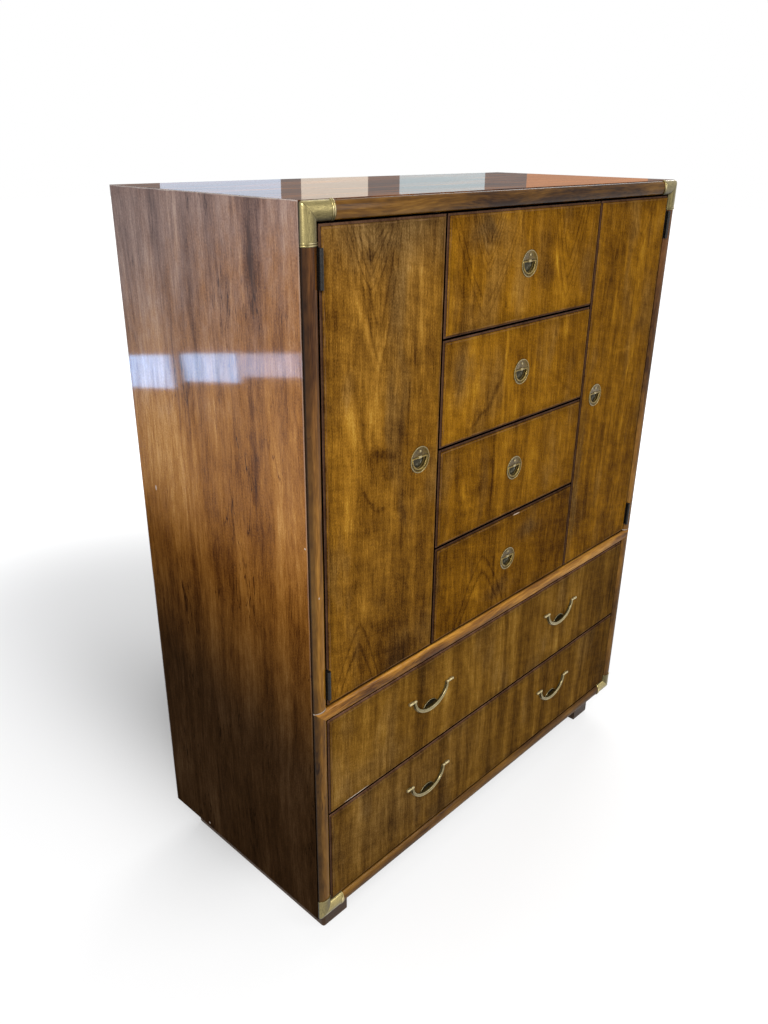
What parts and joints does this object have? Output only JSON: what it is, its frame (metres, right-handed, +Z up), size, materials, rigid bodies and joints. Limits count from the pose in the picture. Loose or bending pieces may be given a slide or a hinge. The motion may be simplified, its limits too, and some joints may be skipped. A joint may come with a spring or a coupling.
{
  "type": "gentleman's chest",
  "caption": "Tall wooden chest with doors beside a stack of small drawers over long drawers, flush brass pulls and corners, on a recessed base.",
  "frame": {"origin": "on the floor under the middle of the overall box", "axes": "+X to the right seen from the front, -Y out of the front, +Z up"},
  "size_m": [1.067, 0.4826, 1.3756],
  "materials": {
    "walnut_veneer": "glossy lacquered walnut veneer with upright grain",
    "walnut_moulding": "lacquered half-round walnut moulding",
    "dark_base_wood": "dark stained base",
    "drawer_box_wood": "plain pale wood inside the case",
    "back_board": "plain thin back board",
    "aged_brass": "aged olive brass, worn bright on its edges",
    "black_steel": "black painted hinges"
  },
  "bodies": {
    "case": {"left_side_panel": "walnut_veneer", "right_side_panel": "walnut_veneer", "top_panel": "walnut_veneer", "back_panel": "back_board", "middle_deck": "walnut_moulding", "bottom_deck": "walnut_moulding", "left_partition": "drawer_box_wood", "right_partition": "drawer_box_wood", "base_frame": "dark_base_wood", "top_rail": "walnut_moulding", "upper_left_stile": "walnut_moulding", "upper_right_stile": "walnut_moulding", "lower_left_stile": "walnut_moulding", "lower_right_stile": "walnut_moulding", "brass_corner_bottom_left": "aged_brass", "brass_corner_top_left": "aged_brass", "brass_corner_top_right": "aged_brass", "brass_corner_bottom_right": "aged_brass", "left_door_upper_frame_leaf": "black_steel", "left_door_lower_frame_leaf": "black_steel", "right_door_upper_frame_leaf": "black_steel", "right_door_lower_frame_leaf": "black_steel"},
    "left_door": {"left_door": "walnut_veneer", "left_door_upper_door_leaf": "black_steel", "left_door_lower_door_leaf": "black_steel", "left_door_pull_plate": "aged_brass"},
    "left_door_ring": {"left_door_pull_ring": "aged_brass"},
    "right_door": {"right_door": "walnut_veneer", "right_door_upper_door_leaf": "black_steel", "right_door_lower_door_leaf": "black_steel", "right_door_pull_plate": "aged_brass"},
    "right_door_ring": {"right_door_pull_ring": "aged_brass"},
    "drawer_1": {"drawer_1_front": "walnut_veneer", "drawer_1_box": "drawer_box_wood", "drawer_1_pull_plate": "aged_brass"},
    "drawer_1_ring": {"drawer_1_pull_ring": "aged_brass"},
    "drawer_2": {"drawer_2_front": "walnut_veneer", "drawer_2_box": "drawer_box_wood", "drawer_2_pull_plate": "aged_brass"},
    "drawer_2_ring": {"drawer_2_pull_ring": "aged_brass"},
    "drawer_3": {"drawer_3_front": "walnut_veneer", "drawer_3_box": "drawer_box_wood", "drawer_3_pull_plate": "aged_brass"},
    "drawer_3_ring": {"drawer_3_pull_ring": "aged_brass"},
    "drawer_4": {"drawer_4_front": "walnut_veneer", "drawer_4_box": "drawer_box_wood", "drawer_4_pull_plate": "aged_brass"},
    "drawer_4_ring": {"drawer_4_pull_ring": "aged_brass"},
    "long_drawer_1": {"long_drawer_1_front": "walnut_veneer", "long_drawer_1_box": "drawer_box_wood", "long_drawer_1_left_pull_plate": "aged_brass", "long_drawer_1_right_pull_plate": "aged_brass"},
    "long_drawer_1_left_bail": {"long_drawer_1_left_bail": "aged_brass"},
    "long_drawer_1_right_bail": {"long_drawer_1_right_bail": "aged_brass"},
    "long_drawer_2": {"long_drawer_2_front": "walnut_veneer", "long_drawer_2_box": "drawer_box_wood", "long_drawer_2_left_pull_plate": "aged_brass", "long_drawer_2_right_pull_plate": "aged_brass"},
    "long_drawer_2_left_bail": {"long_drawer_2_left_bail": "aged_brass"},
    "long_drawer_2_right_bail": {"long_drawer_2_right_bail": "aged_brass"}
  },
  "joints": [
    {"name": "left_door_hinge", "type": "hinge", "parent": "case", "child": "left_door", "pos_m": [-0.5037, -0.23785, 0.953], "axis": [0, 0, -1], "range_deg": [0, 160]},
    {"name": "left_door_ring_hinge", "type": "hinge", "parent": "left_door", "child": "left_door_ring", "pos_m": [-0.2826, -0.23375, 0.957], "axis": [-1, 0, 0], "range_deg": [0, 90]},
    {"name": "right_door_hinge", "type": "hinge", "parent": "case", "child": "right_door", "pos_m": [0.5037, -0.23785, 0.953], "axis": [0, 0, 1], "range_deg": [0, 160]},
    {"name": "right_door_ring_hinge", "type": "hinge", "parent": "right_door", "child": "right_door_ring", "pos_m": [0.2826, -0.23375, 0.957], "axis": [-1, 0, 0], "range_deg": [0, 90]},
    {"name": "drawer_1_slide", "type": "slide", "parent": "case", "child": "drawer_1", "axis": [0, -1, 0], "range_m": [0, 0.32]},
    {"name": "drawer_1_ring_hinge", "type": "hinge", "parent": "drawer_1", "child": "drawer_1_ring", "pos_m": [0, -0.23375, 1.2536], "axis": [-1, 0, 0], "range_deg": [0, 90]},
    {"name": "drawer_2_slide", "type": "slide", "parent": "case", "child": "drawer_2", "axis": [0, -1, 0], "range_m": [0, 0.32]},
    {"name": "drawer_2_ring_hinge", "type": "hinge", "parent": "drawer_2", "child": "drawer_2_ring", "pos_m": [0, -0.23375, 1.0583], "axis": [-1, 0, 0], "range_deg": [0, 90]},
    {"name": "drawer_3_slide", "type": "slide", "parent": "case", "child": "drawer_3", "axis": [0, -1, 0], "range_m": [0, 0.32]},
    {"name": "drawer_3_ring_hinge", "type": "hinge", "parent": "drawer_3", "child": "drawer_3_ring", "pos_m": [0, -0.23375, 0.86675], "axis": [-1, 0, 0], "range_deg": [0, 90]},
    {"name": "drawer_4_slide", "type": "slide", "parent": "case", "child": "drawer_4", "axis": [0, -1, 0], "range_m": [0, 0.32]},
    {"name": "drawer_4_ring_hinge", "type": "hinge", "parent": "drawer_4", "child": "drawer_4_ring", "pos_m": [0, -0.23375, 0.66875], "axis": [-1, 0, 0], "range_deg": [0, 90]},
    {"name": "long_drawer_1_slide", "type": "slide", "parent": "case", "child": "long_drawer_1", "axis": [0, -1, 0], "range_m": [0, 0.32]},
    {"name": "long_drawer_1_left_bail_hinge", "type": "hinge", "parent": "long_drawer_1", "child": "long_drawer_1_left_bail", "pos_m": [-0.2303, -0.23765, 0.45565], "axis": [-1, 0, 0], "range_deg": [0, 90]},
    {"name": "long_drawer_1_right_bail_hinge", "type": "hinge", "parent": "long_drawer_1", "child": "long_drawer_1_right_bail", "pos_m": [0.2303, -0.23765, 0.45565], "axis": [-1, 0, 0], "range_deg": [0, 90]},
    {"name": "long_drawer_2_slide", "type": "slide", "parent": "case", "child": "long_drawer_2", "axis": [0, -1, 0], "range_m": [0, 0.32]},
    {"name": "long_drawer_2_left_bail_hinge", "type": "hinge", "parent": "long_drawer_2", "child": "long_drawer_2_left_bail", "pos_m": [-0.2303, -0.23765, 0.24475], "axis": [-1, 0, 0], "range_deg": [0, 90]},
    {"name": "long_drawer_2_right_bail_hinge", "type": "hinge", "parent": "long_drawer_2", "child": "long_drawer_2_right_bail", "pos_m": [0.2303, -0.23765, 0.24475], "axis": [-1, 0, 0], "range_deg": [0, 90]}
  ]
}
